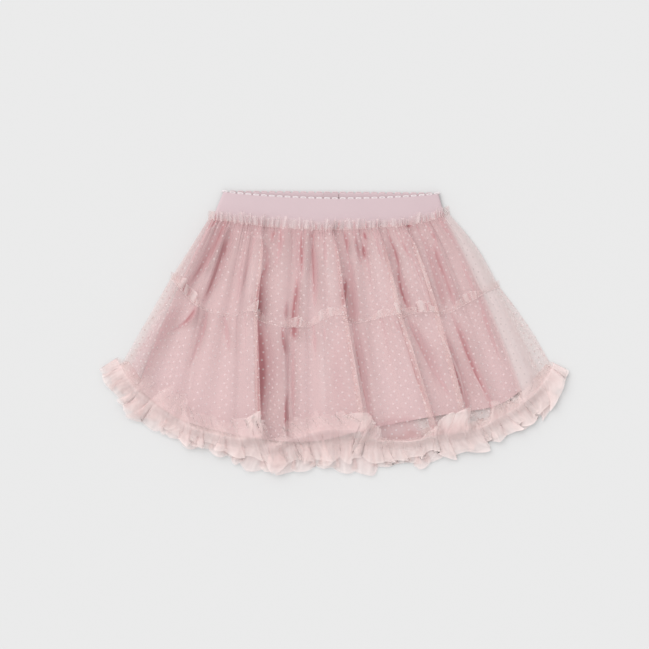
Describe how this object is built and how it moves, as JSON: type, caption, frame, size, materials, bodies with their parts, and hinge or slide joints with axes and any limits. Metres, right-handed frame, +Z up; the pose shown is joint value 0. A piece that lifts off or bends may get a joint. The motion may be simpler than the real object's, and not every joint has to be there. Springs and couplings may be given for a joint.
{
  "type": "tulle skirt",
  "caption": "Child's tiered tulle skirt laid flat, with an elastic waistband, an opaque lining, dotted tulle tiers and a ruffled hem frill.",
  "frame": {"origin": "middle of the underside, on the surface that the skirt lies on", "axes": "+X across the skirt to the right as seen from above, +Y from the hem to the waist, +Z up from the surface"},
  "size_m": [0.4663, 0.2814, 0.0284],
  "materials": {
    "elastic": "soft matt woven elastic, dusty pink, with a pale picot edge",
    "dotted_tulle": "sheer dusty pink tulle with small raised dots",
    "plain_tulle": "soft sheer pale pink tulle",
    "lining": "matt opaque pink lawn"
  },
  "bodies": {
    "root": {"waistband_front": "elastic", "waistband_back": "elastic", "elastic_join": "elastic", "upper_heading": "dotted_tulle", "upper_tier_front": "dotted_tulle", "upper_tier_back": "dotted_tulle", "middle_heading": "dotted_tulle", "lower_tier_front": "dotted_tulle", "lower_tier_back": "dotted_tulle", "hem_frill_front": "plain_tulle", "hem_frill_back": "plain_tulle", "lining_front": "lining", "lining_back": "lining"}
  },
  "joints": []
}
